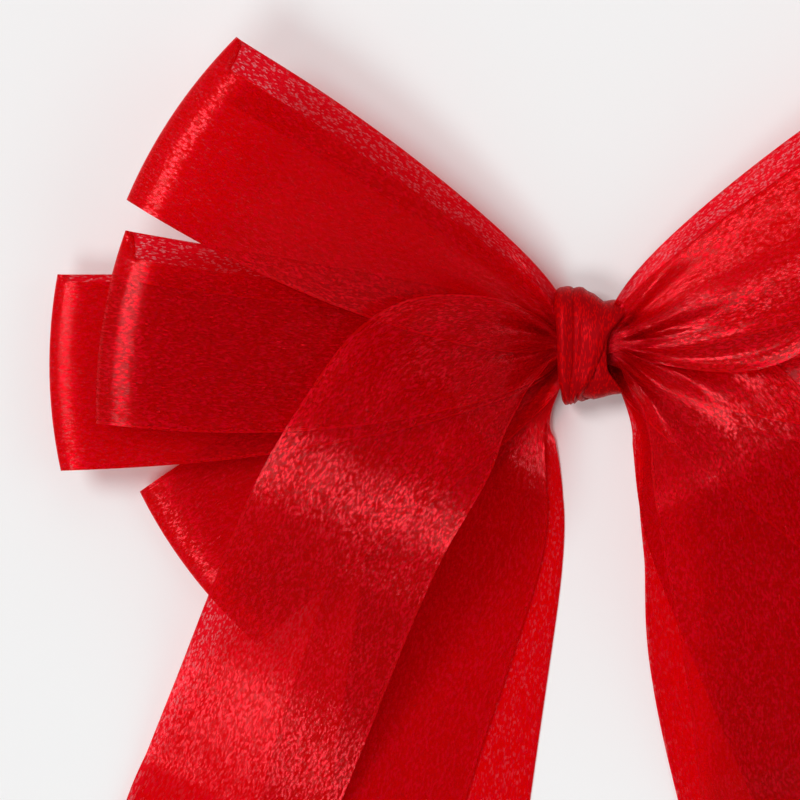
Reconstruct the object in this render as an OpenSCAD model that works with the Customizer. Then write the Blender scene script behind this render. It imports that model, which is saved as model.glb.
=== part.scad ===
// Pre-made gift bow: eight ribbon loops and six tails pinched in a knot,
// bound by a wire inside it, with a bendable tie on the back.
// +Z is the face of the bow and +Y points from the tails to the upper loops. The
// origin is on the back of the tie, behind the middle of the knot. Millimetres.

/* [Ribbon] */
// Width of the ribbon
ribbon_w = 63.5; // [50:0.5:78]
// Thickness of the ribbon
ribbon_t = 0.6; // [0.4:0.05:0.8]
// Width of a loop or a back tail where it is pinched inside the knot
neck_w = 7; // [5:0.5:9]
// Width of a front tail where it is pinched inside the knot
front_neck_w = 9; // [7:0.5:12]
// Length over which a loop opens to its full width, from the side of the knot
loop_open = 128; // [90:1:160]
// Length over which a tail opens to its full width, from the side of the knot
tail_open = 50; // [40:1:70]

/* [Loops] */
// Reach of the upper loops, from the middle of the bow to the bend
upper_reach = 148; // [120:1:185]
// Rise of the upper loops above level, in degrees
upper_angle = 29; // [24:1:40]
// Height of the bend of the upper loops, between the layers
upper_puff = 15; // [10:0.5:24]
// Reach of the middle loops
middle_reach = 153; // [125:1:188]
// Height of the bend of the middle loops
middle_puff = 12; // [8:0.5:18]
// Reach of the rear loops, which lie behind the middle ones
rear_reach = 170; // [140:1:205]
// Height of the bend of the rear loops
rear_puff = 6; // [4:0.5:10]
// Reach of the lower loops
lower_reach = 144; // [115:1:175]
// Fall of the lower loops below level, in degrees
lower_angle = 30; // [26:1:40]
// Height of the bend of the lower loops
lower_puff = 8; // [5:0.5:12]
// Distance from the knot at which the loops are at their full height
rise_len = 140; // [100:1:160]
// Sideways tilt of each loop, which lays it over the next one down, in degrees
shingle = 3; // [0:0.5:5]

/* [Tails] */
// How far the tails hang below the middle of the bow
tail_drop = 250; // [200:1:320]
// Depth of the notch cut in the end of each tail
notch = 22; // [0:1:30]

/* [Knot] */
// Width of the knot band, along the bow
knot_w = 22; // [18:0.5:28]
// Height of the knot, from its top to its bottom
knot_h = 37; // [30:0.5:46]
// Thickness of the folded band round the knot
band_t = 1.4; // [0.8:0.1:2]
// Radius of the corners of the band
band_r = 4.5; // [3:0.5:6]
// Diameter of the binding wire inside the knot
wire_d = 0.8; // [0.5:0.1:1.2]
// Number of turns of the binding wire
wire_turns = 3; // [2:1:4]
// Pitch of the turns of the binding wire
wire_pitch = 2; // [1.6:0.1:2.6]

/* [Back tie] */
// Width of the tie
tie_w = 5; // [3:0.5:8]
// Thickness of the tie
tie_t = 0.8; // [0.6:0.1:1.2]
// Length of each leg of the tie
tie_leg = 45; // [30:1:60]
// Radius of the rolled bend that each leg turns on
tie_bend_r = 0.8; // [0.6:0.05:1]

/* [Clearances] */
// Gap between ribbons that lie on each other
lay_gap = 0.5; // [0.3:0.05:0.8]
// Gap round the wire and inside the band
fit_gap = 0.5; // [0.3:0.05:0.8]
// Running gap round the bends of the tie
run_gap = 0.05; // [0.02:0.01:0.1]

/* [Hidden] */

red = [0.69, 0.0, 0.02];
along = 12;        // steps along each layer of a loop
round = 8;         // steps round the bend of a loop
across = 4;        // steps across a ribbon
tail_steps = 30;   // steps along a tail
half_w = ribbon_w / 2;

// The knot, from the back of the tie forwards
pivot_x = 4;                                  // each ribbon turns about a point this far out
neck_end = 2;                                 // length of a ribbon behind its pivot
mouth = knot_w / 2 + 2;                       // where the ribbons start to open
band_back = 2 * tie_bend_r + run_gap;         // back face of the band
wire_back = band_back + band_t + fit_gap;     // back of the wire's turns
loop_stack = 2 * ribbon_t + 2 * lay_gap;      // a pinched loop and the gap over it
tail_stack = ribbon_t + lay_gap;              // a pinched tail and the gap over it
rear_tail_z = wire_back + wire_d + fit_gap + ribbon_t / 2;
middle_tail_z = rear_tail_z + tail_stack;
lower_z = middle_tail_z + (tail_stack + loop_stack) / 2;
rear_z = lower_z + loop_stack;
middle_z = rear_z + loop_stack;
under_z = middle_z + (loop_stack + tail_stack) / 2;  // a front tail under an upper loop
upper_z = middle_z + loop_stack;                     // an upper loop under a front tail
top_z = upper_z + (loop_stack + tail_stack) / 2;     // the front of the bundle
wire_front = top_z + ribbon_t + lay_gap + fit_gap + wire_d;
band_front = wire_front + fit_gap + band_t;
knot_z = (band_back + band_front) / 2;
knot_depth = band_front - band_back;
neck_gap = (ribbon_t + lay_gap) / 2;          // half the distance between a loop's layers

// Each loop's middle height at its bend, clear of the one that it lies on
lay = ribbon_t + lay_gap;
lower_end = 2 * tail_stack + lower_puff / 2 + half_w * sin(shingle) + ribbon_t;
rear_end = lower_end + (lower_puff + rear_puff) / 2 + lay;
middle_end = rear_end + (rear_puff + middle_puff) / 2 + lay;
upper_left_end = middle_end + (middle_puff + upper_puff) / 2 + lay;
upper_right_end = upper_left_end + 2 * tail_stack;
crest = upper_left_end + 1;                   // where the front left tail passes over the loops
// Halfway between the middle and the upper right loop, where the front right tail passes
halfway = (middle_end + middle_puff / 2 + upper_right_end - upper_puff / 2) / 2;
// The wider that tail is, the further its middle reaches over the rise of the middle loop
saddle = halfway + ribbon_w / 8;

function ease(u) = let (v = min(max(u, 0), 1)) v * v * (3 - 2 * v);
function unit(v) = v / norm(v);
// Half the width of a ribbon at a distance r from the middle of the bow, pinched to neck
function open_width(r, neck, full, power) =
    max(neck / 2, half_w * pow(min(max((r - mouth) / full, 0), 1), power));

// A point of a smooth line through the points p, with u from 0 to 1 along it
function spline(p, u) =
    let (last = len(p) - 1, i = min(floor(u * last), last - 1), v = u * last - i,
         a = p[max(i - 1, 0)], b = p[i], c = p[i + 1], d = p[min(i + 2, last)])
    b + v * ((c - a) / 2 + v * ((2 * a - 5 * b + 4 * c - d) / 2 + v * (3 * b - a - 3 * c + d) / 2));

// A ribbon of even thickness through a grid of points: rows along it, and points across each row
module ribbon(grid) {
    last = len(grid) - 1;
    row = across + 1;
    face = [for (i = [0:last]) [for (j = [0:across]) unit(cross(
        grid[min(i + 1, last)][j] - grid[max(i - 1, 0)][j],
        grid[i][min(j + 1, across)] - grid[i][max(j - 1, 0)]))]];
    skin = [for (up = [-1, 1]) for (i = [0:last]) for (j = [0:across])
        grid[i][j] + face[i][j] * up * ribbon_t / 2];
    top = (last + 1) * row;
    polyhedron(skin, [
        for (i = [0:last - 1]) for (j = [0:across - 1]) let (a = i * row + j) each [
            [a, a + row, a + 1], [a + 1, a + row, a + row + 1],
            [top + a, top + a + 1, top + a + row], [top + a + 1, top + a + row + 1, top + a + row]],
        for (i = [0:last - 1]) let (a = i * row, b = a + across) each [
            [a, top + a, a + row], [a + row, top + a, top + a + row],
            [b, b + row, top + b], [b + row, top + b + row, top + b]],
        for (j = [0:across - 1]) let (a = j, b = last * row + j) each [
            [a, a + 1, top + a], [a + 1, top + a + 1, top + a],
            [b, top + b, b + 1], [b + 1, top + b, top + b + 1]]]);
}

// A cut length of ribbon folded back on itself, with both ends pinched. It starts at its
// pivot, at the origin, and its bend is at reach along +X, turned sideways by sweep degrees.
// Its two layers rise with their distance from the pivot, so that loops nest as they fan out.
module loop(reach, puff, neck_z, end_z, sweep) {
    flat = reach - pivot_x - puff / 2;
    layer = [for (i = [0:along]) -neck_end + (flat + neck_end) * pow(i / along, 1.3)];
    rows = concat(
        [for (s = layer) [s, 0]],
        [for (k = [1:round - 1]) let (a = 180 * k / round - 90)
            [flat + puff / 2 * cos(a), 0.5 + sin(a) / 2]],
        [for (i = [along:-1:0]) [layer[i], 1]]);
    ribbon([for (p = rows)
        let (s = max(p[0], 0), half = open_width(s + pivot_x, neck_w, loop_open, 0.42),
             place = sweep * (s / reach - 1), turn = sweep * (2 * s / reach - 1))
        [for (j = [0:across])
            let (v = half * (2 * j / across - 1),
                 x = p[0] * cos(place) - v * sin(turn), y = p[0] * sin(place) + v * cos(turn),
                 rise = ease(norm([x + pivot_x, y]) / rise_len),
                 back = neck_z - neck_gap + (end_z - puff / 2 - neck_z + neck_gap) * rise,
                 front = neck_z + neck_gap + (end_z + puff / 2 - neck_z - neck_gap) * rise)
            [x, y, back + (front - back) * p[1] - v * sin(shingle) * rise]]]);
}

// Places a loop on the right of the knot, at a height y and an angle above level
module right_loop(y, angle) translate([pivot_x, y, 0]) rotate([0, 0, angle]) children();
module left_loop(y, angle) mirror([1, 0, 0]) right_loop(y, angle) children();

// A tail along a route of points [x, y, z] that is written for a bow whose tails drop 250.
// Its end is notched by moving the middle of its last rows back along it.
route_drop = 250;
fixed_drop = 60;   // the stretch nearest the knot stays as it is
module tail(route, neck) {
    stretch = (tail_drop - fixed_drop) / (route_drop - fixed_drop);
    points = [for (p = route) let (past = min(p[1] + fixed_drop, 0)) p + [0, past * (stretch - 1), 0]];
    line = [for (i = [0:tail_steps]) let (p = spline(points, pow(i / tail_steps, 1.15)))
        [p[0], p[1], max(p[2], low)]];
    ribbon([for (i = [0:tail_steps])
        let (ahead = unit(line[min(i + 1, tail_steps)] - line[max(i - 1, 0)]),
             side = unit([-ahead[1], ahead[0], 0]),
             half = open_width(norm([line[i][0], line[i][1]]), neck, tail_open, 0.6))
        [for (j = [0:across])
            let (t = 2 * j / across - 1, back = notch * (1 - abs(t)) * pow(i / tail_steps, 10))
            line[i] + side * half * t - ahead * back]]);
}

// Where the loops are pinched, up and down the knot
upper_y = 2;
middle_y = 1;
rear_y = 0;
lower_y = -2;

// Angles of the middle and rear loops above level
middle_left_angle = 2;
middle_right_angle = 1;
rear_left_angle = -3;
rear_right_angle = -5;

// Sideways turn of the loops between their layers, in degrees: on the left, on the right
upper_sweep = [5, 4];
middle_sweep = [7, 6];
rear_sweep = [2, 2];
lower_sweep = [-8, -7];

// Routes of the tails from the knot outwards: the first two points are inside the knot
low = ribbon_t / 2;                  // a tail that lies on the surface
second = low + tail_stack;           // a tail that lies on another
third = second + tail_stack;
rear_left_route = [[-2.2, -3.8, rear_tail_z], [-4, -4.5, rear_tail_z], [-15, -7.5, rear_tail_z - 0.4],
    [-28, -19, 1.8], [-36, -42, low], [-41, -78, low], [-50, -140, low], [-64, -242, low]];
middle_left_route = [[-2.2, -2.8, middle_tail_z], [-4, -3.5, middle_tail_z],
    [-13, -7, middle_tail_z], [-29, -18, 4], [-40, -37, second], [-46, -63, second],
    [-56, -94, second], [-72, -144, second], [-96, -240, second]];
front_left_route = [[-2, 0, top_z], [-4, 0, top_z], [-15, 0.5, top_z + 2.9],
    [-30, -3, crest * 0.76], [-46, -13, crest * 0.96], [-60, -29, crest], [-73, -49, crest],
    [-83, -70, crest * 0.9], [-92, -92, crest * 0.68], [-101, -115, crest * 0.42],
    [-111, -140, crest * 0.2], [-121, -166, third + 0.6], [-141, -244, third]];
rear_right_route = [[2.2, -3.8, rear_tail_z], [4, -4.5, rear_tail_z], [15, -7.5, rear_tail_z - 0.4],
    [29, -18, 1.8], [42, -38, low], [54, -68, low], [72, -110, low], [93, -160, low], [124, -238, low]];
middle_right_route = [[2.2, -2.8, middle_tail_z], [4, -3.5, middle_tail_z],
    [13, -7, middle_tail_z], [30, -17, 4], [43, -36, second], [49, -64, second],
    [51, -98, second], [61, -144, second], [88, -242, second]];
front_right_route = [[2, -0.5, under_z], [4, -1, under_z], [14, -4, under_z + 0.7],
    [28, -10, halfway * 0.51], [40, -22, halfway * 0.66], [49, -40, saddle * 0.666],
    [54, -60, saddle * 0.674], [59, -84, saddle * 0.601], [63, -108, saddle * 0.463],
    [66, -132, saddle * 0.276],
    [70, -158, third + 0.8], [83, -246, third]];

// A rectangle h by w with corners of radius r
module rounded(h, w, r) {
    square([h - 2 * r, w], center = true);
    square([h, w - 2 * r], center = true);
    for (x = [-1, 1], y = [-1, 1]) translate([x * (h / 2 - r), y * (w / 2 - r)]) circle(r, $fn = 48);
}

module knot_band() {
    color(red)
    translate([-knot_w / 2, 0, knot_z]) rotate([90, 0, 90])
    linear_extrude(knot_w) difference() {
        rounded(knot_h, knot_depth, band_r);
        rounded(knot_h - 2 * band_t, knot_depth - 2 * band_t, band_r - band_t);
    }
}

// A round tube along a line that never runs along X, closed at both ends
module tube(line, r, sides) {
    last = len(line) - 1;
    skin = [for (i = [0:last])
        let (ahead = unit(line[min(i + 1, last)] - line[max(i - 1, 0)]),
             x = unit([1, 0, 0] - ahead * ahead[0]), y = cross(ahead, x))
        for (k = [0:sides - 1]) let (a = 360 * k / sides) line[i] + r * (x * cos(a) + y * sin(a))];
    polyhedron(skin, [
        [for (k = [0:sides - 1]) k],
        for (i = [0:last - 1]) for (k = [0:sides - 1])
            let (a = i * sides + k, b = i * sides + (k + 1) % sides) each
            [[a, a + sides, b], [b, a + sides, b + sides]],
        [for (k = [sides - 1:-1:0]) last * sides + k]]);
}

// One wire wound round the pinched ribbons, along a helix with flattened sides
wire_reach = upper_y + front_neck_w + fit_gap;   // from the middle of the bundle to the wire
module binding_wire() {
    per_turn = 28;
    steps = wire_turns * per_turn;
    r = wire_d / 2;
    reach_z = (wire_front - wire_back) / 2 - r;
    function squared(v) = sign(v) * pow(abs(v), 0.4);
    line = [for (i = [0:steps]) let (a = 360 * i / per_turn - 90) [
        wire_pitch * (i / per_turn - wire_turns / 2),
        (wire_reach + r) * squared(cos(a)),
        knot_z + reach_z * squared(sin(a))]];
    color("silver") tube(line, r, 8);
}

// The tie: a flat strap behind the knot, with a leg on each side that turns on a rolled bend.
// The leg's roll sits between two rolls of the strap.
strap_half = knot_w / 2 + 1.5;
bend_x = strap_half + tie_bend_r + run_gap;
knuckle = (tie_w - 2 * run_gap) / 3;

module roll(y, len) translate([bend_x, y, tie_bend_r]) rotate([-90, 0, 0])
    cylinder(r = tie_bend_r, h = len, $fn = 32);

module tie_strap() {
    color(red) union() {
        translate([-strap_half, -tie_w / 2, 0]) cube([2 * strap_half, tie_w, tie_t]);
        for (m = [0, 1], y = [-tie_w / 2, tie_w / 2 - knuckle]) mirror([m, 0, 0]) {
            roll(y, knuckle);
            translate([0, y, 0]) cube([bend_x, knuckle, tie_t]);
        }
    }
}

module tie_leg() {
    leg_x = bend_x + tie_bend_r + run_gap;
    color(red) union() {
        roll(-knuckle / 2, knuckle);
        translate([bend_x, -knuckle / 2, 0]) cube([leg_x - bend_x, knuckle, tie_t]);
        translate([leg_x, -tie_w / 2, 0]) cube([tie_leg, tie_w, tie_t]);
    }
}

module tie_left_leg() mirror([1, 0, 0]) tie_leg();
module tie_right_leg() tie_leg();

module upper_left_loop() color(red) left_loop(upper_y, upper_angle)
    loop(upper_reach, upper_puff, upper_z, upper_left_end, upper_sweep[0]);
module middle_left_loop() color(red) left_loop(middle_y, middle_left_angle)
    loop(middle_reach, middle_puff, middle_z, middle_end, middle_sweep[0]);
module rear_left_loop() color(red) left_loop(rear_y, rear_left_angle)
    loop(rear_reach, rear_puff, rear_z, rear_end, rear_sweep[0]);
module lower_left_loop() color(red) left_loop(lower_y, -lower_angle)
    loop(lower_reach, lower_puff, lower_z, lower_end, lower_sweep[0]);

module upper_right_loop() color(red) right_loop(upper_y, upper_angle)
    loop(upper_reach, upper_puff, top_z, upper_right_end, upper_sweep[1]);
module middle_right_loop() color(red) right_loop(middle_y, middle_right_angle)
    loop(middle_reach, middle_puff, middle_z, middle_end, middle_sweep[1]);
module rear_right_loop() color(red) right_loop(rear_y, rear_right_angle)
    loop(rear_reach, rear_puff, rear_z, rear_end, rear_sweep[1]);
module lower_right_loop() color(red) right_loop(lower_y, -lower_angle)
    loop(lower_reach, lower_puff, lower_z, lower_end, lower_sweep[1]);

module front_left_tail() color(red) tail(front_left_route, front_neck_w);
module middle_left_tail() color(red) tail(middle_left_route, neck_w);
module rear_left_tail() color(red) tail(rear_left_route, neck_w);
module front_right_tail() color(red) tail(front_right_route, front_neck_w);
module middle_right_tail() color(red) tail(middle_right_route, neck_w);
module rear_right_tail() color(red) tail(rear_right_route, neck_w);

knot_band();
binding_wire();
tie_strap();
tie_left_leg();
tie_right_leg();
upper_left_loop();
middle_left_loop();
rear_left_loop();
lower_left_loop();
upper_right_loop();
middle_right_loop();
rear_right_loop();
lower_right_loop();
front_left_tail();
middle_left_tail();
rear_left_tail();
front_right_tail();
middle_right_tail();
rear_right_tail();
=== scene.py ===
"""Builds a pre-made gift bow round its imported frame: eight loops and six tails of sheer red satin
ribbon, the wrapped knot that holds them, the wire inside it and the twist tie on its back, and a
plain studio to show it in. Sizes in tables are in millimetres; objects are in metres."""
import math
from collections import namedtuple

import bmesh
import bpy
import numpy as np
from bpy.props import FloatProperty, PointerProperty, StringProperty
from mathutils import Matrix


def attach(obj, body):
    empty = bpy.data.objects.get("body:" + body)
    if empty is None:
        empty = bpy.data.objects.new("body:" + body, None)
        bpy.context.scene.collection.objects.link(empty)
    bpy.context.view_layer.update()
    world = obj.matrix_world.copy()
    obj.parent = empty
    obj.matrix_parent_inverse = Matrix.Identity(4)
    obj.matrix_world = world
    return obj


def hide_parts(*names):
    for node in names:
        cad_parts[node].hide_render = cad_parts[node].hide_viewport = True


bl_info = {
    "name": "Gift Bow",
    "version": (1, 0, 0),
    "blender": (4, 5, 0),
    "location": "View3D > Sidebar > Gift Bow",
    "description": "Sheer satin ribbons, knot, wire and tie round the packed frame of a gift bow",
    "category": "Object",
}

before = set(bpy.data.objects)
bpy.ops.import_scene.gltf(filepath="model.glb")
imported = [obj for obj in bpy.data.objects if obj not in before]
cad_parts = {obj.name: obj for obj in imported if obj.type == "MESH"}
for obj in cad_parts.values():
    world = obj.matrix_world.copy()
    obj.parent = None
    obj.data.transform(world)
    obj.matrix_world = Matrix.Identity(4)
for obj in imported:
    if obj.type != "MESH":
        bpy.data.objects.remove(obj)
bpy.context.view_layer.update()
MM = 0.001

# The frame's own measures
PIVOT = 4.0          # each ribbon turns about a point this far to the side of the middle
NECK_END = 2.0       # length of a ribbon behind its pivot
SHINGLE = 3.0        # sideways tilt of a loop, in degrees
RISE_LENGTH = 140.0  # distance at which the loops are at their full height
FLOOR_TAIL = 0.3     # height of a tail that lies on the surface
SECOND_TAIL = 1.4    # height of a tail that lies on another
THIRD_TAIL = 2.5
CREST = 42.3         # height at which the front left tail passes over the loops
HALFWAY = 34.3       # height between the middle and the upper right loop
SADDLE = 42.25       # the same, with what the width of the tail adds

FLAP_GAP = 0.5       # gap between a layer and its folded edge
HALF_GAP = 0.55      # half the gap between the two layers of a loop at the knot
NECK_WIDTH = 7.0     # width that a loop is gathered to in the knot

SHEER_RIBBON = "sheer satin organza ribbon"

# How finely the ribbons are drawn
LAYER_ROWS = 60
BEND_ROWS = 19
TAIL_ROWS = 140
COLUMNS = 52

# side: -1 left, 1 right. pinch: height of the pivot up the knot. neck and end: heights of the
# middle of the loop at the knot and at its bend. puff: height of the bend. bend: length over which
# it turns. tuck: width of the upper edge of the front layer that is folded under. sag: how far the
# lower edge of the front layer hangs out near the knot. bow: how far its upper edge is bowed out.
Loop = namedtuple("Loop", "side pinch angle reach sweep neck end puff bend tuck sag bow")
LOOPS = {
    "upper_left_loop": Loop(-1, 2, 29, 148, 5, 14.5, 41.26, 15, 16, 10, 0, 3),
    "middle_left_loop": Loop(-1, 1, 2, 153, 7, 12.3, 26.66, 12, 16, 8, 0, 0),
    "rear_left_loop": Loop(-1, 0, -3, 170, 2, 10.1, 16.56, 6, 10, 2.5, 0, 0),
    "lower_left_loop": Loop(-1, -2, -30, 144, -8, 7.9, 8.46, 8, 13, 0, 0, 0),
    "upper_right_loop": Loop(1, 2, 29, 148, 4, 16.15, 43.46, 15, 16, 9, 11.5, 3),
    "middle_right_loop": Loop(1, 1, 1, 153, 6, 12.3, 26.66, 12, 16, 7, 0, 0),
    "rear_right_loop": Loop(1, 0, -5, 170, 2, 10.1, 16.56, 6, 10, 2.5, 0, 0),
    "lower_right_loop": Loop(1, -2, -30, 144, -7, 7.9, 8.46, 8, 13, 0, 0, 0),
}

# Routes of the tails from inside the knot outwards, as x, y and height. bulge: how much further
# than the frame the outer edge swings out near the knot.
Tail = namedtuple("Tail", "side neck bulge seed route")
TAILS = {
    "rear_left_tail": Tail(-1, 7, 0, 11, [
        (-2.2, -3.8, 5.15), (-4, -4.5, 5.15), (-15, -7.5, 4.75), (-28, -19, 1.8),
        (-36, -42, FLOOR_TAIL), (-41, -78, FLOOR_TAIL), (-50, -140, FLOOR_TAIL),
        (-64, -242, FLOOR_TAIL)]),
    "middle_left_tail": Tail(-1, 7, 0, 12, [
        (-2.2, -2.8, 6.25), (-4, -3.5, 6.25), (-13, -7, 6.25), (-29, -18, 4),
        (-40, -37, SECOND_TAIL), (-46, -63, SECOND_TAIL), (-56, -94, SECOND_TAIL),
        (-72, -144, SECOND_TAIL), (-96, -240, SECOND_TAIL)]),
    "front_left_tail": Tail(-1, 9, 5, 13, [
        (-2, 0, 16.15), (-4, 0, 16.15), (-15, 0.5, 19.05), (-30, -3, CREST * 0.76),
        (-46, -13, CREST * 0.96), (-60, -29, CREST * 0.98), (-73, -49, CREST * 0.89),
        (-83, -70, CREST * 0.7), (-92, -92, CREST * 0.46), (-101, -115, CREST * 0.25),
        (-111, -140, CREST * 0.12), (-121, -166, THIRD_TAIL + 0.6), (-141, -244, THIRD_TAIL)]),
    "rear_right_tail": Tail(1, 7, 0, 14, [
        (2.2, -3.8, 5.15), (4, -4.5, 5.15), (15, -7.5, 4.75), (29, -18, 1.8),
        (42, -38, FLOOR_TAIL), (54, -68, FLOOR_TAIL), (72, -110, FLOOR_TAIL),
        (93, -160, FLOOR_TAIL), (124, -238, FLOOR_TAIL)]),
    "middle_right_tail": Tail(1, 7, 0, 15, [
        (2.2, -2.8, 6.25), (4, -3.5, 6.25), (13, -7, 6.25), (30, -17, 4), (43, -36, SECOND_TAIL),
        (49, -64, SECOND_TAIL), (51, -98, SECOND_TAIL), (61, -144, SECOND_TAIL),
        (88, -242, SECOND_TAIL)]),
    "front_right_tail": Tail(1, 9, 0, 16, [
        (2, -0.5, 13.95), (4, -1, 13.95), (14, -4, 14.65), (28, -10, HALFWAY * 0.51),
        (40, -22, HALFWAY * 0.66), (49, -40, SADDLE * 0.666), (54, -60, SADDLE * 0.674),
        (59, -84, SADDLE * 0.601), (63, -108, SADDLE * 0.463), (66, -132, SADDLE * 0.276),
        (70, -158, THIRD_TAIL + 0.8), (83, -246, THIRD_TAIL)]),
}

# Creases of the ribbons that show, where they run into the knot: place across the ribbon from -1
# to 1, width in the same measure, height, and how far out they fade.
CREASES = {
    "front_left_tail": [(-0.85, 0.10, 1.6, 34), (-0.55, 0.12, -1.5, 30), (-0.28, 0.09, 1.3, 26),
                        (0.05, 0.12, -1.2, 24), (0.45, 0.10, 1.1, 30), (0.75, 0.10, -1.0, 26)],
    "upper_left_loop": [(0.7, 0.12, 1.0, 34), (0.35, 0.12, -0.9, 30), (0.0, 0.1, 0.8, 26)],
    "upper_right_loop": [(-0.88, 0.13, 3.4, 110), (-0.62, 0.1, -1.4, 60), (-0.2, 0.14, 2.0, 36),
                         (0.1, 0.1, -1.0, 30), (0.5, 0.12, 1.1, 36), (0.8, 0.1, -0.8, 30)],
    "front_right_tail": [(-0.72, 0.16, 2.4, 30), (-0.4, 0.12, -1.0, 28), (0.1, 0.1, 1.0, 26),
                         (0.5, 0.12, -0.9, 26)],
}


def ease(u):
    v = np.clip(u, 0, 1)
    return v * v * (3 - 2 * v)


def opened(distance, neck, full, power, mouth):
    """Half the width of a ribbon at a distance from the middle of the bow, gathered to neck."""
    share = np.maximum((distance - mouth) / full, 0) ** power
    return np.maximum(neck / 2, half_width() * share / (1 + share ** 12) ** (1 / 12))


def half_width():
    return bpy.context.scene.gift_bow_ribbon.width / MM / 2


def gathers(x, y, z):
    """Height of the gathers that run out of the knot through every ribbon of one side alike. They
    fade towards the floor, so that the ribbons keep their order there."""
    from_side = np.hypot(np.abs(x) - 5, y)
    bearing = np.arctan2(y, np.abs(x) - 5)
    side = np.sign(x)
    far = np.maximum(from_side - 10, 0)
    ridges = (np.sin(14 * bearing + 0.7 * side + 0.4) * np.exp(-far / 20)
              + 0.75 * np.sin(24 * bearing - 1.1 * side) * np.exp(-far / 12)
              + 0.5 * np.sin(35 * bearing + 2.0 * side) * np.exp(-far / 8))
    depth = bpy.context.scene.gift_bow_ribbon.gather_depth / MM
    # Slow unevenness of soft ribbons, none at the knot
    soft = (0.6 * np.sin(from_side / 23 + side) * np.sin(5 * bearing + 2 * side)
            * ease(from_side / RISE_LENGTH))
    return (depth * ridges * ease((from_side - 4) / 9) + soft) * ease(z / 14)


def creased(name, across, distance):
    """Height of the creases that only this ribbon has."""
    height = np.zeros(np.broadcast(across, distance).shape)
    for place, width, depth, reach in CREASES.get(name, []):
        fade = ease((distance - 11) / 9) * np.exp(-np.maximum(distance - 18, 0) / (reach * 0.7))
        height += depth * np.exp(-(((across - place) / width) ** 2)) * fade
    return height


def loop_surface(name, loop):
    """Points of a loop's ribbon, in rows along it and columns across it."""
    flat = loop.reach - PIVOT - loop.bend
    layer = np.linspace(0, 1, LAYER_ROWS) ** 1.15 * (flat + NECK_END) - NECK_END
    turn = np.radians(np.linspace(-90, 90, BEND_ROWS + 2)[1:-1])
    out = np.concatenate([layer, flat + loop.bend * np.cos(turn), layer[::-1]])[:, None]
    share = np.concatenate([0 * layer, 0.5 + np.sin(turn) / 2, 0 * layer + 1])[:, None]
    across = np.linspace(-1, 1, COLUMNS)[None, :]
    along = np.clip(out / loop.reach, 0, 1)
    half = opened(np.maximum(out, 0) + PIVOT, NECK_WIDTH, 120, 0.42, 8)
    # The front layer's upper edge turns under about a fold, so that the back layer shows alone
    # beyond it. The turn starts at the bend.
    fold = 1 - loop.tuck / half_width()
    flap = np.maximum(across - fold, 0)
    turned = math.pi * ease((loop.reach - PIVOT + 1 - out) / 12) * ease(share * 2 - 1)
    side = half * (np.minimum(across, fold) + flap * np.cos(turned))
    side = side - loop.sag * share * np.clip(-across, 0, 1) ** 2 * np.exp(-(((out - 42) / 30) ** 2))
    side = side + loop.bow * np.clip(across, 0, 1) * 4 * along * (1 - along)
    under = half * flap * np.sin(turned) + FLAP_GAP * ease((turned - 2) / 1.1) * ease(flap * 12)
    # The bend is bowed outwards, as an arc about the knot
    out = out + (2.0 - side ** 2 / 300) * along ** 2
    place = np.radians(loop.sweep * (along - 1))
    lean = np.radians(loop.sweep * (2 * along - 1))
    x = out * np.cos(place) - side * np.sin(lean)
    y = out * np.sin(place) + side * np.cos(lean)
    rise = ease(np.hypot(x + PIVOT, y) / RISE_LENGTH)
    back = (loop.neck - HALF_GAP) * (1 - rise) + (loop.end - loop.puff / 2) * rise
    front = (loop.neck + HALF_GAP) * (1 - rise) + (loop.end + loop.puff / 2) * rise
    z = back + (front - back) * share - side * math.sin(math.radians(SHINGLE)) * rise
    angle = math.radians(loop.angle)
    wx = PIVOT + x * math.cos(angle) - y * math.sin(angle)
    wy = loop.pinch + x * math.sin(angle) + y * math.cos(angle)
    wx = wx * loop.side
    z = z - under + gathers(wx, wy, z) + creased(name, across, out + PIVOT) * share
    return np.stack([wx, wy, z], axis=-1)


def smooth_line(points, u):
    """Points of a smooth line through the given ones, with u from 0 to 1 along it."""
    p = np.asarray(points, float)
    last = len(p) - 1
    i = np.minimum((u * last).astype(int), last - 1)
    v = (u * last - i)[:, None]
    a, b, c, d = p[np.maximum(i - 1, 0)], p[i], p[i + 1], p[np.minimum(i + 2, last)]
    square = (2 * a - 5 * b + 4 * c - d) / 2
    cube = (3 * b - a - 3 * c + d) / 2
    return b + v * ((c - a) / 2 + v * (square + v * cube))


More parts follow.
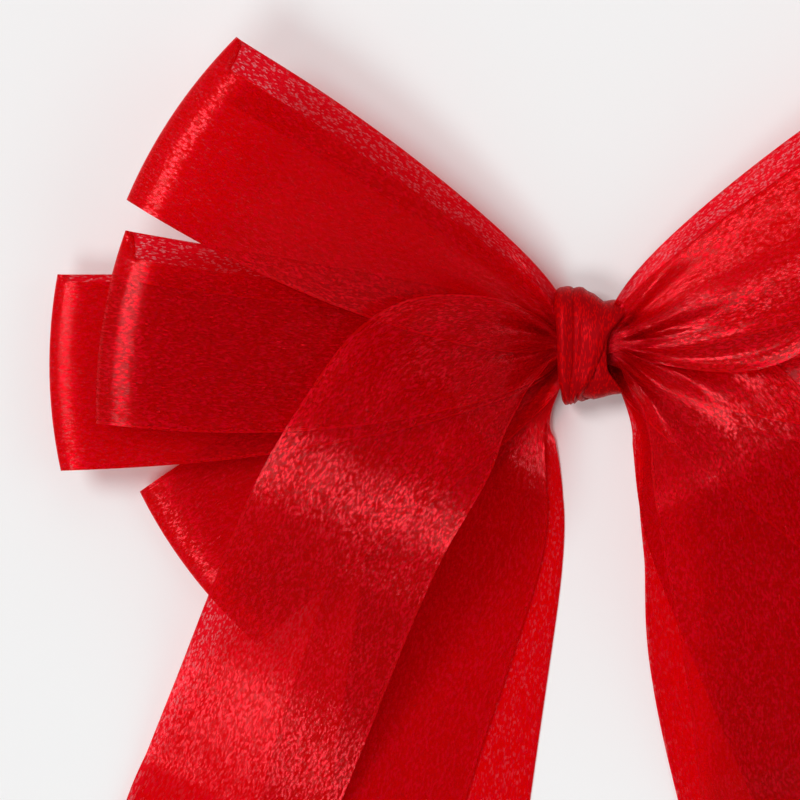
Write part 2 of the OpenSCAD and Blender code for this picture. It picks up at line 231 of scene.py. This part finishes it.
def tail_surface(name, tail):
    """Points of a tail's ribbon, in rows along it and columns across it. Its end is notched."""
    share = np.linspace(0, 1, TAIL_ROWS)
    line = smooth_line(tail.route, share ** 1.15)
    line[:, 2] = np.maximum(line[:, 2], FLOOR_TAIL)
    ahead = np.gradient(line, axis=0)
    ahead /= np.linalg.norm(ahead, axis=1)[:, None]
    side = np.stack([-ahead[:, 1], ahead[:, 0], 0 * share], axis=1)
    side /= np.linalg.norm(side, axis=1)[:, None]
    across = np.linspace(-1, 1, COLUMNS)[None, :]
    distance = np.hypot(line[:, 0], line[:, 1])[:, None]
    half = opened(distance, tail.neck, 52, 0.6, 10)
    # across runs towards the middle of the bow on the left and away from it on the right
    outer = np.clip(across * tail.side, 0, 1)
    width = half * across
    width = width + tail.side * tail.bulge * outer * np.exp(-(((distance - 46) / 18) ** 2))
    depth = bpy.context.scene.gift_bow_ribbon.notch / MM
    notch = depth * (1 - np.abs(across)) * share[:, None] ** 30
    grid = (line[:, None, :] + side[:, None, :] * width[:, :, None]
            - ahead[:, None, :] * notch[:, :, None])
    x, y = grid[..., 0], grid[..., 1]
    lift = gathers(x, y, grid[..., 2]) + creased(name, across, distance)
    wave = 0.35 * np.sin(distance / 19 + tail.seed) * np.sin(2.4 * across + tail.seed)
    clear = ease((grid[..., 2] - 4) / 8)
    grid[..., 2] += lift + 1.6 * wave * clear
    grid[..., 2] = np.maximum(grid[..., 2], FLOOR_TAIL)
    return grid


def ribbon_object(name, grid, material):
    """A ribbon of even thickness round a grid of points, with a map of its weave in millimetres."""
    rows, columns = grid.shape[:2]
    along = np.gradient(grid, axis=0)
    face = np.cross(along, np.gradient(grid, axis=1))
    face /= np.linalg.norm(face, axis=-1)[..., None]
    thick = bpy.context.scene.gift_bow_ribbon.thickness / MM
    skin = np.concatenate([(grid + face * thick / 2).reshape(-1, 3),
                           (grid - face * thick / 2).reshape(-1, 3)])
    n = rows * columns
    at = np.arange(n).reshape(rows, columns)
    a, b, c, d = at[:-1, :-1].ravel(), at[1:, :-1].ravel(), at[1:, 1:].ravel(), at[:-1, 1:].ravel()
    quads = [np.stack([a, b, c, d], 1), np.stack([a, d, c, b], 1) + n]
    rim = np.concatenate([at[0, :], at[1:, -1], at[-1, -2::-1], at[-2:0:-1, 0]])
    following = np.roll(rim, -1)
    quads.append(np.stack([rim, following, following + n, rim + n], 1))
    mesh = bpy.data.meshes.new(name)
    mesh.from_pydata((skin * MM).tolist(), [], np.concatenate(quads).tolist())
    steps = np.linalg.norm(np.diff(grid[:, columns // 2], axis=0), axis=1)
    length = np.concatenate([[0], np.cumsum(steps)])
    across = np.linspace(-1, 1, columns) * half_width()
    uv = np.stack(np.broadcast_arrays(across[None, :], length[:, None]), axis=-1).reshape(-1, 2)
    uv = np.concatenate([uv, uv])
    corners = np.zeros(len(mesh.loops), int)
    mesh.loops.foreach_get("vertex_index", corners)
    mesh.uv_layers.new(name="weave").data.foreach_set("uv", uv[corners].astype(np.float32).ravel())
    finish_mesh(mesh, 40)
    piece = bpy.data.objects.new(name, mesh)
    piece.data.materials.append(material)
    bpy.context.scene.collection.objects.link(piece)
    return piece, float(length[-1]) * MM


def finish_mesh(mesh, sharp):
    """Turns every face outwards, shades the mesh smoothly and keeps edges over an angle sharp."""
    shape = bmesh.new()
    shape.from_mesh(mesh)
    bmesh.ops.recalc_face_normals(shape, faces=shape.faces)
    shape.to_mesh(mesh)
    shape.free()
    mesh.shade_smooth()
    mesh.set_sharp_from_angle(angle=math.radians(sharp))
    mesh.validate()


# The knot: one ribbon, folded narrow and wound round the bundle. Each wrap is given by its edges
# at bearings round the knot, in degrees from the front over the bottom, the back and the top.
Wrap = namedtuple("Wrap", "bearings left right base puff pleats seed")
WRAPS = {
    "knot_under_wrap": Wrap(
        [-130, -90, -46, -13, 0, 25, 50, 70, 95, 135, 180],
        [-4, -4, -5, -4, -4, -4, -5, -5, -5, -6, -6],
        [8, 9, 9.5, 6.4, 5.2, 5.5, 8.8, 10.6, 10.8, 8, 7],
        -0.9, 1.2, 2, 3),
    "knot_left_roll": Wrap(
        [-130, -90, -46, -13, 0, 25, 50, 70, 95, 135, 180],
        [-10, -11.2, -11.4, -10.6, -10.4, -10.3, -9.6, -8.8, -8.8, -9, -9],
        [-3, -4.6, -4.8, -4.8, -4.8, -5.2, -5.8, -6.0, -5.0, -2, -1],
        -0.7, 2.3, 1, 5),
    "knot_main_wrap": Wrap(
        [-130, -90, -46, -13, 14, 42, 67, 95, 135, 180],
        [-5, -5.4, -5.4, -5.4, -5.6, -6.4, -7.0, -6.5, -6, -5],
        [9, 11.5, 11.7, 6.2, 2.9, -0.4, -2.4, -1.5, 4, 7],
        0.1, 1.7, 3, 8),
}
KNOT_MIDDLE = 11.05   # height of the middle of the knot
KNOT_DEPTH = 8.6      # half its depth
RING = 128            # points round a wrap
SECTION = 30          # points round a wrap's own section


def knot_size(x, bearing):
    """Half the height of the knot at a place along it, over its top and under its bottom."""
    top = np.interp(x, [-11, -7, -2, 2, 5, 12], [16.2, 17.6, 16.8, 14.2, 12.6, 12.8])
    bottom = np.interp(x, [-9, -7, -3, -1, 1, 3.5, 7, 12],
                       [16.4, 17.8, 16.0, 16.6, 17.4, 16.4, 15.8, 15.6])
    return np.where(np.sin(bearing) < 0, top, bottom)


def wrap_object(name, wrap, material):
    """A soft closed ring round the bundle, pillowed between its edges and pleated along itself."""
    bearing = np.linspace(-180, 180, RING, endpoint=False)
    knots = [wrap.bearings[-1] - 360, *wrap.bearings]
    left = np.interp(bearing, knots, [wrap.left[-1], *wrap.left])
    right = np.interp(bearing, knots, [wrap.right[-1], *wrap.right])
    for _ in range(3):
        left = (np.roll(left, 1) + left + np.roll(left, -1)) / 3
        right = (np.roll(right, 1) + right + np.roll(right, -1)) / 3
    a = np.radians(bearing)[:, None]
    round_section = np.linspace(0, 2 * math.pi, SECTION, endpoint=False)[None, :]
    share = (1 + np.sign(np.cos(round_section)) * np.abs(np.cos(round_section)) ** 0.75) / 2
    x = left[:, None] + (right - left)[:, None] * share
    lifted = np.sin(round_section)
    pillow = np.where(lifted > 0, np.abs(lifted) ** 0.7 * wrap.puff, -np.abs(lifted) ** 0.7 * 0.6)
    drift = 0.8 * np.sin(2 * a + wrap.seed) + 0.5 * np.sin(3 * a - wrap.seed)
    pleat = 0.30 * np.sin(2 * math.pi * wrap.pleats * share + drift) * np.clip(lifted, 0, 1) ** 2
    off_dent = share - 0.5 + 0.18 * np.sin(a * 1.5 + wrap.seed)
    dent = -0.45 * np.exp(-(off_dent / 0.06) ** 2) * np.clip(lifted, 0, 1)
    out = wrap.base + pillow + pleat + dent * (wrap.pleats > 1)
    high = knot_size(x, np.broadcast_to(a, x.shape))
    s, c = np.sin(a), np.cos(a)
    boxed_s = np.sign(s) * np.abs(s) ** 0.82
    boxed_c = np.sign(c) * np.abs(c) ** 0.82
    ny, nz = s / 15, c / 9
    norm = np.hypot(ny, nz)
    y = -(high * boxed_s + out * ny / norm)
    z = KNOT_MIDDLE + KNOT_DEPTH * boxed_c + out * nz / norm
    points = np.stack([x, y, z], axis=-1).reshape(-1, 3) * MM
    at = np.arange(RING * SECTION).reshape(RING, SECTION)
    ahead = np.roll(at, -1, 0)
    quads = np.stack([at, ahead, np.roll(ahead, -1, 1), np.roll(at, -1, 1)], -1)
    mesh = bpy.data.meshes.new(name)
    mesh.from_pydata(points.tolist(), [], quads.reshape(-1, 4).tolist())
    across = (share * (right - left)[:, None]).ravel()
    around = (np.broadcast_to(np.radians(bearing)[:, None] * 14, x.shape)).ravel()
    uv = np.stack([across, around], axis=1)
    corners = np.zeros(len(mesh.loops), int)
    mesh.loops.foreach_get("vertex_index", corners)
    mesh.uv_layers.new(name="weave").data.foreach_set("uv", uv[corners].astype(np.float32).ravel())
    finish_mesh(mesh, 80)
    piece = bpy.data.objects.new(name, mesh)
    mesh.materials.append(material)
    bpy.context.scene.collection.objects.link(piece)
    return piece


def linear(hex_colour):
    """An sRGB colour written in hex, as the linear one that shaders work in."""
    parts = [int(hex_colour[i:i + 2], 16) / 255 for i in (1, 3, 5)]
    return [p / 12.92 if p <= 0.04045 else ((p + 0.055) / 1.055) ** 2.4 for p in parts] + [1.0]


def add_node(tree, kind, inputs=None, **settings):
    """Adds a node, makes its settings, and fills its inputs with values or links."""
    node = tree.nodes.new(kind)
    for name, value in settings.items():
        setattr(node, name, value)
    for socket, value in (inputs or {}).items():
        if isinstance(value, bpy.types.NodeSocket):
            tree.links.new(value, node.inputs[socket])
        else:
            node.inputs[socket].default_value = value
    return node


def new_material(name):
    material = bpy.data.materials.new(name)
    material.use_nodes = True
    material.node_tree.nodes.clear()
    return material, material.node_tree


# A float of the satin is 0.12 mm wide and 0.5 mm long. It is drawn coarser, so that it shows.
FLOAT_WIDTH, FLOAT_LENGTH = 0.34, 1.0
THREAD_BUMP = 0.00016       # height of a thread as drawn, in metres
CLOUD_SCALE = 0.11          # cloudy patches some 9 mm across, where the threads have shifted
SELVAGE = 1.2               # width of the closer weave along each edge
CRUSHED = 0.16              # how much rougher the ribbon is where it is wound tight


def satin_ribbon(name, sheer):
    """Nylon satin organza, woven and heat-set. Bright warp floats run along the ribbon on an open
    ground: they flash in short streaks where it bends, and the light behind shows between them."""
    look = bpy.context.scene.gift_bow_ribbon
    material, tree = new_material(name)
    weave = add_node(tree, "ShaderNodeUVMap", uv_map="weave")
    place = add_node(tree, "ShaderNodeMapping", {
        "Vector": weave.outputs["UV"], "Scale": (1 / FLOAT_WIDTH, 1 / FLOAT_LENGTH, 1),
        "Rotation": (0, 0, 0.15)})
    threads = add_node(tree, "ShaderNodeTexVoronoi", {
        "Vector": place.outputs["Vector"], "Scale": 1.0, "Randomness": 0.85},
        voronoi_dimensions="2D")
    chance = add_node(tree, "ShaderNodeSeparateColor", {"Color": threads.outputs["Color"]})
    # About three threads in ten are floats
    is_float = add_node(tree, "ShaderNodeMapRange", {
        "Value": chance.outputs["Red"], "From Min": 0.66, "From Max": 0.72})
    # Each thread is tilted a little its own way, which is what makes the floats flash one by one
    within = add_node(tree, "ShaderNodeVectorMath", {
        0: place.outputs["Vector"], 1: threads.outputs["Position"]}, operation="SUBTRACT")
    lean = add_node(tree, "ShaderNodeVectorMath", {
        0: threads.outputs["Color"], 1: (0.5, 0.5, 0.5)}, operation="SUBTRACT")
    facet = add_node(tree, "ShaderNodeVectorMath", {
        0: within.outputs["Vector"], 1: lean.outputs["Vector"]}, operation="DOT_PRODUCT")
    bump = add_node(tree, "ShaderNodeBump", {
        "Height": facet.outputs["Value"], "Strength": look.bump, "Distance": THREAD_BUMP})
    sparkle = add_node(tree, "ShaderNodeBump", {
        "Height": facet.outputs["Value"], "Strength": look.sparkle, "Distance": THREAD_BUMP})
    cloud = add_node(tree, "ShaderNodeTexNoise", {
        "Vector": weave.outputs["UV"], "Scale": CLOUD_SCALE, "Detail": 3.0},
        noise_dimensions="2D")
    # Where the ribbon is folded close in the knot, its floats take the deep colour and the rest the
    # folded colour: painted shade for the light that its wound layers hold back. Its crushed
    # threads are duller
    dense, ground, bright, dull = (
        (look.deep_hex, look.ground_hex, look.float_hex, 0) if sheer else
        (look.folded_shade_hex, look.folded_shade_hex, look.deep_hex, CRUSHED))
    weft = add_node(tree, "ShaderNodeMix", {
        "Factor": cloud.outputs["Fac"], "A": linear(dense), "B": linear(ground)},
        data_type="RGBA")
    colour = add_node(tree, "ShaderNodeMix", {
        "Factor": is_float.outputs[0], "A": weft.outputs["Result"], "B": linear(bright)},
        data_type="RGBA")
    roughness = add_node(tree, "ShaderNodeMapRange", {
        "Value": is_float.outputs[0], "To Min": 0.34 + dull, "To Max": 0.24 + dull})
    gleam = add_node(tree, "ShaderNodeMapRange", {
        "Value": is_float.outputs[0], "To Min": 0.14, "To Max": 0.34 - dull})
    tangent = add_node(tree, "ShaderNodeTangent", direction_type="UV_MAP", uv_map="weave")
    satin = add_node(tree, "ShaderNodeBsdfPrincipled", {
        "Base Color": colour.outputs["Result"], "Roughness": roughness.outputs[0],
        "Metallic": gleam.outputs[0], "IOR": 1.53, "Specular IOR Level": 0.15,
        "Specular Tint": linear(look.sheen_hex), "Anisotropic": 0.5,
        "Coat Weight": look.shine if sheer else 0.0, "Coat Roughness": 0.12,
        "Coat Normal": sparkle.outputs[0], "Tangent": tangent.outputs[0],
        "Normal": bump.outputs[0]})
    surface = satin.outputs[0]
    if sheer:
        # The dyed threads are clear, so a part of the light that falls on them glows through
        glow = add_node(tree, "ShaderNodeBsdfTranslucent", {"Color": linear(look.glow_hex)})
        lit = add_node(tree, "ShaderNodeMixShader", {0: 0.25, 1: surface, 2: glow.outputs[0]})
        # The ground is open between its threads, and here and there a gap lets the light through
        # almost untinted. The selvage is woven closer.
        across = add_node(tree, "ShaderNodeSeparateXYZ", {"Vector": weave.outputs["UV"]})
        from_middle = add_node(tree, "ShaderNodeMath", {0: across.outputs["X"]},
                               operation="ABSOLUTE")
        selvage = add_node(tree, "ShaderNodeMapRange", {
            "Value": from_middle.outputs[0], "From Min": half_width() - SELVAGE,
            "From Max": half_width() - SELVAGE / 2, "To Min": 1.0, "To Max": 0.75})
        open_share = add_node(tree, "ShaderNodeMapRange", {
            "Value": is_float.outputs[0], "To Min": look.open_ground, "To Max": look.open_float})
        open_part = add_node(tree, "ShaderNodeMath", {
            0: open_share.outputs[0], 1: selvage.outputs[0]}, operation="MULTIPLY")
        gap = add_node(tree, "ShaderNodeMapRange", {
            "Value": chance.outputs["Blue"], "From Min": 0.68, "From Max": 0.82})
        tint = add_node(tree, "ShaderNodeMix", {
            "Factor": gap.outputs[0], "A": linear(look.through_hex), "B": linear(look.gap_hex)},
            data_type="RGBA")
        through = add_node(tree, "ShaderNodeBsdfTransparent", {"Color": tint.outputs["Result"]})
        mix = add_node(tree, "ShaderNodeMixShader", {
            0: open_part.outputs[0], 1: lit.outputs[0], 2: through.outputs[0]})
        surface = mix.outputs[0]
    add_node(tree, "ShaderNodeOutputMaterial", {"Surface": surface})
    return material


def florist_wire():
    """Bright drawn steel wire. Drawing leaves fine lines along it, so its gleam is broken up."""
    material, tree = new_material("bright drawn steel wire")
    place = add_node(tree, "ShaderNodeTexCoord")
    # Die lines a tenth of a millimetre apart, drawn 0.25 mm apart and long along the turns
    stretch = add_node(tree, "ShaderNodeMapping", {
        "Vector": place.outputs["Object"], "Scale": (4000, 250, 250)})
    lines = add_node(tree, "ShaderNodeTexNoise", {
        "Vector": stretch.outputs["Vector"], "Scale": 1.0, "Detail": 3.0})
    roughness = add_node(tree, "ShaderNodeMapRange", {
        "Value": lines.outputs["Fac"], "To Min": 0.2, "To Max": 0.42})
    bump = add_node(tree, "ShaderNodeBump", {
        "Height": lines.outputs["Fac"], "Strength": 0.25, "Distance": 0.00002})
    steel = add_node(tree, "ShaderNodeBsdfPrincipled", {
        "Base Color": linear("#C9CBCE"), "Metallic": 1.0, "Roughness": roughness.outputs[0],
        "Normal": bump.outputs[0]})
    add_node(tree, "ShaderNodeOutputMaterial", {"Surface": steel.outputs[0]})
    return material


def twist_tie():
    """Twist tie: a soft wire between two webs of PVC, calendered matt. A low ridge down its middle
    shows the wire, and the webs have a fine leathery grain."""
    material, tree = new_material("calendered PVC twist tie")
    place = add_node(tree, "ShaderNodeTexCoord")
    grain = add_node(tree, "ShaderNodeTexNoise", {
        "Vector": place.outputs["Object"], "Scale": 1800.0, "Detail": 3.0})
    y = add_node(tree, "ShaderNodeSeparateXYZ", {"Vector": place.outputs["Object"]})
    off = add_node(tree, "ShaderNodeMath", {0: y.outputs["Y"]}, operation="ABSOLUTE")
    # The wire is 0.6 mm thick, so the ridge fades out 0.7 mm from the middle
    ridge = add_node(tree, "ShaderNodeMapRange", {
        "Value": off.outputs[0], "From Min": 0.0, "From Max": 0.0007, "To Min": 2.0,
        "To Max": 0.0}, interpolation_type="SMOOTHSTEP")
    height = add_node(tree, "ShaderNodeMath", {
        0: grain.outputs["Fac"], 1: ridge.outputs[0]}, operation="ADD")
    bump = add_node(tree, "ShaderNodeBump", {
        "Height": height.outputs[0], "Strength": 0.5, "Distance": 0.00012})
    colour = add_node(tree, "ShaderNodeMix", {
        "Factor": grain.outputs["Fac"], "A": linear("#8E0A14"), "B": linear("#B4121E")},
        data_type="RGBA")
    roughness = add_node(tree, "ShaderNodeMapRange", {
        "Value": grain.outputs["Fac"], "To Min": 0.42, "To Max": 0.62})
    pvc = add_node(tree, "ShaderNodeBsdfPrincipled", {
        "Base Color": colour.outputs["Result"], "Roughness": roughness.outputs[0], "IOR": 1.53,
        "Normal": bump.outputs[0]})
    add_node(tree, "ShaderNodeOutputMaterial", {"Surface": pvc.outputs[0]})
    return material


def studio_paper():
    """Seamless background paper, matt and pale grey, with a faint tooth."""
    material, tree = new_material("seamless background paper")
    place = add_node(tree, "ShaderNodeTexCoord")
    # The tooth of uncoated paper is about a millimetre across
    tooth = add_node(tree, "ShaderNodeTexNoise", {
        "Vector": place.outputs["Object"], "Scale": 900.0})
    bump = add_node(tree, "ShaderNodeBump", {
        "Height": tooth.outputs["Fac"], "Strength": 0.05, "Distance": 0.0001})
    paper = add_node(tree, "ShaderNodeBsdfPrincipled", {
        "Base Color": linear(bpy.context.scene.gift_bow_stage.floor_hex), "Roughness": 0.95,
        "Specular IOR Level": 0.1, "Normal": bump.outputs[0]})
    add_node(tree, "ShaderNodeOutputMaterial", {"Surface": paper.outputs[0]})
    return material


class RibbonSettings(bpy.types.PropertyGroup):
    """Sizes and finish of the ribbon."""
    width: FloatProperty(
        name="Width", description="Width of the ribbon", default=0.0635, min=0.03, max=0.1,
        unit="LENGTH")
    thickness: FloatProperty(
        name="Thickness", description="Thickness of the ribbon as drawn", default=0.00025,
        min=0.0001, max=0.0006, unit="LENGTH")
    gather_depth: FloatProperty(
        name="Gathers", description="Depth of the gathers at the knot", default=0.0014, min=0.0,
        max=0.0015, unit="LENGTH")
    notch: FloatProperty(
        name="Notch", description="Depth of the notch in the end of each tail", default=0.022,
        min=0.0, max=0.03, unit="LENGTH")
    float_hex: StringProperty(
        name="Floats", description="Colour of the bright warp floats", default="#E60428")
    ground_hex: StringProperty(
        name="Ground", description="Colour of the ground weave", default="#CC0004")
    deep_hex: StringProperty(
        name="Deep", description="Colour of the ground where it is densest", default="#BC0002")
    # Painted shade: the knot's darker colour stands for the light that its many wound layers hold
    # back
    folded_shade_hex: StringProperty(
        name="Folded", description="Colour where many layers are folded close", default="#980004")
    sheen_hex: StringProperty(
        name="Sheen", description="Colour of the gleam of the threads", default="#FF7890")
    glow_hex: StringProperty(
        name="Glow", description="Colour of light that the threads let through",
        default="#FF0C20")
    through_hex: StringProperty(
        name="Through", description="Colour of light through one face of the ground",
        default="#FF5973")
    gap_hex: StringProperty(
        name="Gaps", description="Colour of light through one face where it is open",
        default="#FFCBD0")
    open_ground: FloatProperty(
        name="Open ground", description="Open share of one face of the ground", default=0.72,
        min=0.0, max=1.0, subtype="FACTOR")
    open_float: FloatProperty(
        name="Open floats", description="Open share of one face of the floats", default=0.58,
        min=0.0, max=1.0, subtype="FACTOR")
    bump: FloatProperty(
        name="Weave", description="How strongly the weave stands out", default=0.16, min=0.0,
        max=1.0, subtype="FACTOR")
    sparkle: FloatProperty(
        name="Sparkle", description="How far the threads are turned one from another",
        default=0.4, min=0.0, max=1.0, subtype="FACTOR")
    shine: FloatProperty(
        name="Shine", description="Share of the clear gleam of the nylon", default=0.36, min=0.0,
        max=1.0, subtype="FACTOR")


class StageSettings(bpy.types.PropertyGroup):
    """Floor, light and camera."""
    floor_hex: StringProperty(
        name="Floor", description="Colour of the background paper", default="#EDEDED")
    key: FloatProperty(
        name="Key", description="Strength of the softbox at the upper left", default=1.6, min=0.0)
    low: FloatProperty(
        name="Low", description="Strength of the softbox at the lower left", default=0.95,
        min=0.0)
    fill: FloatProperty(
        name="Fill", description="Strength of the fills at the top and the right", default=0.15,
        min=0.0)
    surround: FloatProperty(
        name="Surround", description="Brightness of the studio walls", default=0.47, min=0.0)
    camera_height: FloatProperty(
        name="Camera height", description="Height of the camera over the bow", default=2.5,
        min=0.5, unit="LENGTH")


def dress(name, grid, material):
    """Makes the ribbon that a node stands for, from its grid of points, and lets it ride on it."""
    piece, length = ribbon_object(name + "_ribbon", grid, material)
    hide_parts(name)
    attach(piece, name)


class GIFTBOW_OT_loops(bpy.types.Operator):
    """Makes the eight loops of ribbon"""
    bl_idname = "gift_bow.loops"
    bl_label = "Loops"

    def execute(self, context):
        material = satin_ribbon(SHEER_RIBBON, True)
        for name, loop in LOOPS.items():
            dress(name, loop_surface(name, loop), material)
        return {"FINISHED"}


class GIFTBOW_OT_tails(bpy.types.Operator):
    """Makes the six tails of ribbon"""
    bl_idname = "gift_bow.tails"
    bl_label = "Tails"

    def execute(self, context):
        material = bpy.data.materials[SHEER_RIBBON]
        for name, tail in TAILS.items():
            dress(name, tail_surface(name, tail), material)
        return {"FINISHED"}


class GIFTBOW_OT_knot(bpy.types.Operator):
    """Makes the three wraps of the knot"""
    bl_idname = "gift_bow.knot"
    bl_label = "Knot"

    def execute(self, context):
        # The knot's ribbon takes darker colours, painted shade, as it lets no light through
        material = satin_ribbon("folded satin organza ribbon, painted shade", False)
        wraps = [wrap_object(name, wrap, material) for name, wrap in WRAPS.items()]
        for piece in wraps:
            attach(piece, "knot")
        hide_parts("knot_band")
        return {"FINISHED"}


class GIFTBOW_OT_wire_and_tie(bpy.types.Operator):
    """Finishes the binding wire and the three pieces of the back tie"""
    bl_idname = "gift_bow.wire_and_tie"
    bl_label = "Wire and tie"

    def execute(self, context):
        tie = twist_tie()
        finishes = {"binding_wire": florist_wire(), "tie_strap": tie, "tie_left_leg": tie,
                    "tie_right_leg": tie}
        for name, material in finishes.items():
            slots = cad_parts[name].data.materials
            slots.clear()
            slots.append(material)
        return {"FINISHED"}


class GIFTBOW_OT_stage(bpy.types.Operator):
    """Makes the floor, the soft lights and the camera"""
    bl_idname = "gift_bow.stage"
    bl_label = "Stage"

    def execute(self, context):
        scene = context.scene
        look = scene.gift_bow_stage
        mesh = bpy.data.meshes.new("background_paper")
        reach = 4.0
        mesh.from_pydata([(-reach, -reach, 0), (reach, -reach, 0), (reach, reach, 0),
                          (-reach, reach, 0)], [], [(0, 1, 2, 3)])
        mesh.materials.append(studio_paper())
        floor = bpy.data.objects.new("background_paper", mesh)
        scene.collection.objects.link(floor)
        # bearing round the bow from +X towards +Y, angle from straight above, width of the lamp
        for name, strength, bearing, tilt, spread in (
                ("key", look.key, 152, 31, 22), ("low", look.low, 228, 31, 21),
                ("top", look.fill, 80, 34, 30), ("right", look.fill, 5, 38, 30)):
            lamp = bpy.data.lights.new(name, "SUN")
            lamp.energy = strength
            lamp.angle = math.radians(spread)
            thing = bpy.data.objects.new(name, lamp)
            thing.rotation_euler = (0, math.radians(tilt), math.radians(bearing))
            scene.collection.objects.link(thing)
        world = bpy.data.worlds.new("studio walls")
        world.use_nodes = True
        tree = world.node_tree
        tree.nodes.clear()
        # Pale walls and a dim ceiling, where the camera hangs
        place = add_node(tree, "ShaderNodeTexCoord")
        up = add_node(tree, "ShaderNodeSeparateXYZ", {"Vector": place.outputs["Generated"]})
        wall = add_node(tree, "ShaderNodeMapRange", {
            "Value": up.outputs["Z"], "From Min": 0.55, "From Max": 0.92,
            "To Min": look.surround, "To Max": 0.12 * look.surround},
            interpolation_type="SMOOTHSTEP")
        light = add_node(tree, "ShaderNodeBackground", {
            "Color": (1, 1, 1, 1), "Strength": wall.outputs[0]})
        add_node(tree, "ShaderNodeOutputWorld", {"Surface": light.outputs[0]})
        scene.world = world
        scene.view_settings.view_transform = "Standard"
        # The camera looks straight down on the left part of the bow
        view_width, view_x, view_y, sharp_height = 0.254, -0.0603, -0.0175, 0.02
        data = bpy.data.cameras.new("camera")
        data.sensor_width = 36
        data.lens = data.sensor_width * (look.camera_height - sharp_height) / view_width
        data.clip_start, data.clip_end = 0.1, 20
        camera = bpy.data.objects.new("camera", data)
        camera.location = (view_x, view_y, look.camera_height)
        scene.collection.objects.link(camera)
        scene.camera = camera
        return {"FINISHED"}


class GIFTBOW_PT_panel(bpy.types.Panel):
    """Lists the pieces of the bow and their settings"""
    bl_idname = "GIFTBOW_PT_panel"
    bl_label = "Gift Bow"
    bl_space_type = "VIEW_3D"
    bl_region_type = "UI"
    bl_category = "Gift Bow"

    def draw(self, context):
        for settings in (context.scene.gift_bow_ribbon, context.scene.gift_bow_stage):
            box = self.layout.box()
            for name in settings.__annotations__:
                box.prop(settings, name)
        for operator in OPERATORS:
            self.layout.operator(operator.bl_idname)


OPERATORS = (GIFTBOW_OT_loops, GIFTBOW_OT_tails, GIFTBOW_OT_knot, GIFTBOW_OT_wire_and_tie,
             GIFTBOW_OT_stage)
CLASSES = (RibbonSettings, StageSettings, *OPERATORS, GIFTBOW_PT_panel)


def register():
    for cls in CLASSES:
        bpy.utils.register_class(cls)
    bpy.types.Scene.gift_bow_ribbon = PointerProperty(type=RibbonSettings)
    bpy.types.Scene.gift_bow_stage = PointerProperty(type=StageSettings)


def unregister():
    del bpy.types.Scene.gift_bow_stage
    del bpy.types.Scene.gift_bow_ribbon
    for cls in reversed(CLASSES):
        bpy.utils.unregister_class(cls)


def main():
    register()
    bpy.ops.gift_bow.loops()
    bpy.ops.gift_bow.tails()
    bpy.ops.gift_bow.knot()
    bpy.ops.gift_bow.wire_and_tie()
    bpy.ops.gift_bow.stage()


if __name__ == "__main__":
    main()
